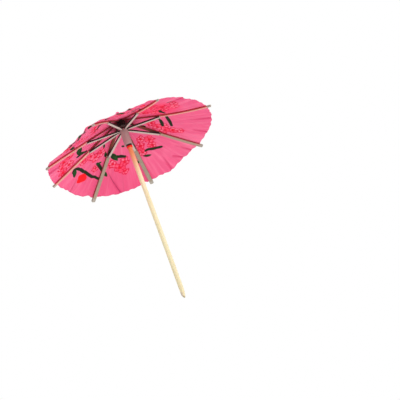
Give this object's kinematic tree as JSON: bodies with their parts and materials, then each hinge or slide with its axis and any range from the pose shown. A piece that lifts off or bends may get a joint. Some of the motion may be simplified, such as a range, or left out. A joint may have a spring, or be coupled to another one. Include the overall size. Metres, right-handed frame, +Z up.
{
  "type": "cocktail umbrella pick",
  "caption": "Folding paper cocktail umbrella on a pointed wooden pick: pleated canopy, card ribs and struts, sliding runner and a plastic retaining ring.",
  "frame": {"origin": "on the pick's axis, where the straight shank begins above the lower point", "axes": "+Z up along the pick towards the canopy; +X to the right and +Y away from the viewer of the picture"},
  "size_m": [0.0823, 0.0821, 0.0994],
  "materials": {
    "pale_wood": "dry turned wood, unvarnished",
    "red_plastic": "smooth gloss",
    "runner_card": "matt rolled card",
    "strut_card": "matt grey-beige card",
    "rib_card": "matt grey-beige card, two plies at the outer half",
    "newsprint": "rolled unprinted newsprint",
    "canopy_paper": "thin pleated tissue, printed with blossoms",
    "finial_paper": "twisted tissue"
  },
  "bodies": {
    "stem": {"pick": "pale_wood", "retaining_ring": "red_plastic", "newsprint_spacer": "newsprint", "collar": "runner_card", "canopy": "canopy_paper", "finial": "finial_paper"},
    "runner": {"runner": "runner_card"},
    "strut_1": {"strut_1": "strut_card"},
    "strut_2": {"strut_2": "strut_card"},
    "strut_3": {"strut_3": "strut_card"},
    "strut_4": {"strut_4": "strut_card"},
    "strut_5": {"strut_5": "strut_card"},
    "strut_6": {"strut_6": "strut_card"},
    "strut_7": {"strut_7": "strut_card"},
    "strut_8": {"strut_8": "strut_card"},
    "rib_1": {"rib_1": "rib_card"},
    "rib_2": {"rib_2": "rib_card"},
    "rib_3": {"rib_3": "rib_card"},
    "rib_4": {"rib_4": "rib_card"},
    "rib_5": {"rib_5": "rib_card"},
    "rib_6": {"rib_6": "rib_card"},
    "rib_7": {"rib_7": "rib_card"},
    "rib_8": {"rib_8": "rib_card"}
  },
  "joints": [
    {"name": "runner_slide", "type": "slide", "parent": "stem", "child": "runner", "axis": [0, 0, -1], "range_m": [0, 0.0289], "deforming": ["canopy"]},
    {"name": "strut_1_hinge", "type": "hinge", "parent": "runner", "child": "strut_1", "pos_m": [-0.00227, -0.0008, 0.08299], "axis": [-0.3338, 0.9426, 0], "range_deg": [0, 88.8]},
    {"name": "strut_2_hinge", "type": "hinge", "parent": "runner", "child": "strut_2", "pos_m": [-0.00237, 0.00044, 0.08299], "axis": [0.1822, 0.9833, 0], "range_deg": [0, 88.8]},
    {"name": "strut_3_hinge", "type": "hinge", "parent": "runner", "child": "strut_3", "pos_m": [-0.00145, 0.00192, 0.08299], "axis": [0.7986, 0.6018, 0], "range_deg": [0, 88.8]},
    {"name": "strut_4_hinge", "type": "hinge", "parent": "runner", "child": "strut_4", "pos_m": [0.00017, 0.0024, 0.08299], "axis": [0.9976, -0.0698, 0], "range_deg": [0, 88.8]},
    {"name": "strut_5_hinge", "type": "hinge", "parent": "runner", "child": "strut_5", "pos_m": [0.00191, 0.00147, 0.08299], "axis": [0.6088, -0.7934, 0], "range_deg": [0, 88.8]},
    {"name": "strut_6_hinge", "type": "hinge", "parent": "runner", "child": "strut_6", "pos_m": [0.00232, -0.00066, 0.08299], "axis": [-0.2756, -0.9613, 0], "range_deg": [0, 88.8]},
    {"name": "strut_7_hinge", "type": "hinge", "parent": "runner", "child": "strut_7", "pos_m": [0.00117, -0.00211, 0.08299], "axis": [-0.8746, -0.4848, 0], "range_deg": [0, 88.8]},
    {"name": "strut_8_hinge", "type": "hinge", "parent": "runner", "child": "strut_8", "pos_m": [-0.00064, -0.00232, 0.08299], "axis": [-0.9636, 0.2672, 0], "range_deg": [0, 88.8]},
    {"name": "rib_1_hinge", "type": "hinge", "parent": "strut_1", "child": "rib_1", "pos_m": [-0.01746, -0.00618, 0.08046], "axis": [0.3338, -0.9426, 0], "range_deg": [0, 145.3]},
    {"name": "rib_2_hinge", "type": "hinge", "parent": "strut_2", "child": "rib_2", "pos_m": [-0.01821, 0.00338, 0.08046], "axis": [-0.1822, -0.9833, 0], "range_deg": [0, 145.3]},
    {"name": "rib_3_hinge", "type": "hinge", "parent": "strut_3", "child": "rib_3", "pos_m": [-0.01115, 0.01479, 0.08046], "axis": [-0.7986, -0.6018, 0], "range_deg": [0, 145.3]},
    {"name": "rib_4_hinge", "type": "hinge", "parent": "strut_4", "child": "rib_4", "pos_m": [0.00129, 0.01848, 0.08046], "axis": [-0.9976, 0.0698, 0], "range_deg": [0, 145.3]},
    {"name": "rib_5_hinge", "type": "hinge", "parent": "strut_5", "child": "rib_5", "pos_m": [0.01469, 0.01128, 0.08046], "axis": [-0.6088, 0.7934, 0], "range_deg": [0, 145.3]},
    {"name": "rib_6_hinge", "type": "hinge", "parent": "strut_6", "child": "rib_6", "pos_m": [0.0178, -0.00511, 0.08046], "axis": [0.2756, 0.9613, 0], "range_deg": [0, 145.3]},
    {"name": "rib_7_hinge", "type": "hinge", "parent": "strut_7", "child": "rib_7", "pos_m": [0.00898, -0.0162, 0.08046], "axis": [0.8746, 0.4848, 0], "range_deg": [0, 145.3]},
    {"name": "rib_8_hinge", "type": "hinge", "parent": "strut_8", "child": "rib_8", "pos_m": [-0.00495, -0.01785, 0.08046], "axis": [0.9636, -0.2672, 0], "range_deg": [0, 145.3]}
  ],
  "couplings": [
    {"joint": "strut_1_hinge", "follows": "runner_slide", "rad_per_m": 53.566},
    {"joint": "strut_2_hinge", "follows": "runner_slide", "rad_per_m": 53.566},
    {"joint": "strut_3_hinge", "follows": "runner_slide", "rad_per_m": 53.566},
    {"joint": "strut_4_hinge", "follows": "runner_slide", "rad_per_m": 53.566},
    {"joint": "strut_5_hinge", "follows": "runner_slide", "rad_per_m": 53.566},
    {"joint": "strut_6_hinge", "follows": "runner_slide", "rad_per_m": 53.566},
    {"joint": "strut_7_hinge", "follows": "runner_slide", "rad_per_m": 53.566},
    {"joint": "strut_8_hinge", "follows": "runner_slide", "rad_per_m": 53.566},
    {"joint": "rib_1_hinge", "follows": "runner_slide", "rad_per_m": 87.682},
    {"joint": "rib_2_hinge", "follows": "runner_slide", "rad_per_m": 87.682},
    {"joint": "rib_3_hinge", "follows": "runner_slide", "rad_per_m": 87.682},
    {"joint": "rib_4_hinge", "follows": "runner_slide", "rad_per_m": 87.682},
    {"joint": "rib_5_hinge", "follows": "runner_slide", "rad_per_m": 87.682},
    {"joint": "rib_6_hinge", "follows": "runner_slide", "rad_per_m": 87.682},
    {"joint": "rib_7_hinge", "follows": "runner_slide", "rad_per_m": 87.682},
    {"joint": "rib_8_hinge", "follows": "runner_slide", "rad_per_m": 87.682}
  ]
}
